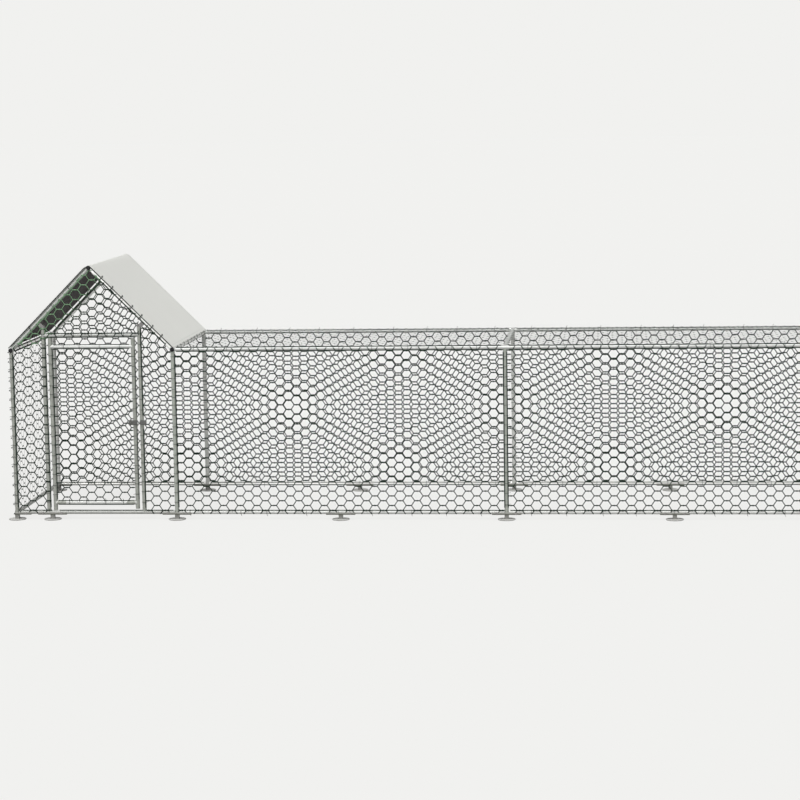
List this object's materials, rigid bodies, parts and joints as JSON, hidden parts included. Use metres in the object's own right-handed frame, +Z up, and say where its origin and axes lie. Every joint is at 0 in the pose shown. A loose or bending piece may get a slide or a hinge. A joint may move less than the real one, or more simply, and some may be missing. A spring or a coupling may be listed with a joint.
{
  "type": "chicken coop with run",
  "caption": "Tube-framed poultry coop: a gabled house with a fabric roof and a pivoting netted door with a slide bolt, leading into a long flat-topped run of wire netting on round feet.",
  "frame": {"origin": "on the ground, under the middle of the coop and run", "axes": "+X along the run, away from the house; +Y from the door side to the rear; +Z up"},
  "size_m": [5.095, 1.1548, 1.5472],
  "materials": {
    "tube": "galvanised",
    "netting": "coated wire",
    "cover": "coated weave",
    "cap": "moulded",
    "latch": "zinc plated"
  },
  "bodies": {
    "frame": {"door_jamb_left": "tube", "door_jamb_right": "tube", "door_lintel": "tube", "eave_rail_left": "tube", "eave_rail_right": "tube", "end_caps": "cap", "house_post_front_left": "tube", "house_post_front_right": "tube", "house_post_rear_left": "tube", "house_post_rear_right": "tube", "jamb_bracket_left": "tube", "jamb_bracket_right": "tube", "latch_keeper": "latch", "netting_front_left": "netting", "netting_front_right": "netting", "netting_gable_front": "netting", "netting_house_left": "netting", "netting_house_rear": "netting", "netting_run_end": "netting", "netting_run_front": "netting", "netting_run_rear": "netting", "netting_run_roof": "netting", "pivot_pins": "tube", "post_feet_front": "tube", "post_feet_rear": "tube", "rafter_front_left": "tube", "rafter_front_right": "tube", "rafter_rear_left": "tube", "rafter_rear_right": "tube", "rail_feet": "tube", "ridge_pole": "tube", "roof_cover": "cover", "run_bottom_rail_front_1": "tube", "run_bottom_rail_front_2": "tube", "run_bottom_rail_rear_1": "tube", "run_bottom_rail_rear_2": "tube", "run_crossbeam_1": "tube", "run_crossbeam_2": "tube", "run_post_front_1": "tube", "run_post_front_2": "tube", "run_post_rear_1": "tube", "run_post_rear_2": "tube", "run_sill_end": "tube", "run_top_rail_front_1": "tube", "run_top_rail_front_2": "tube", "run_top_rail_rear_1": "tube", "run_top_rail_rear_2": "tube", "sill_front": "tube", "sill_left": "tube", "sill_rear": "tube"},
    "door": {"door_stile_hinge": "tube", "door_stile_latch": "tube", "door_rail_top": "tube", "door_rail_bottom": "tube", "latch_housing": "latch", "netting_door": "netting"},
    "bolt": {"latch_bolt": "latch"}
  },
  "joints": [
    {"name": "door_hinge", "type": "hinge", "parent": "frame", "child": "door", "pos_m": [-2.254, -0.525, 0], "axis": [0, 0, -1], "range_deg": [0, 110]},
    {"name": "bolt_slide", "type": "slide", "parent": "door", "child": "bolt", "axis": [1, 0, 0], "range_m": [0, 0.034]}
  ]
}
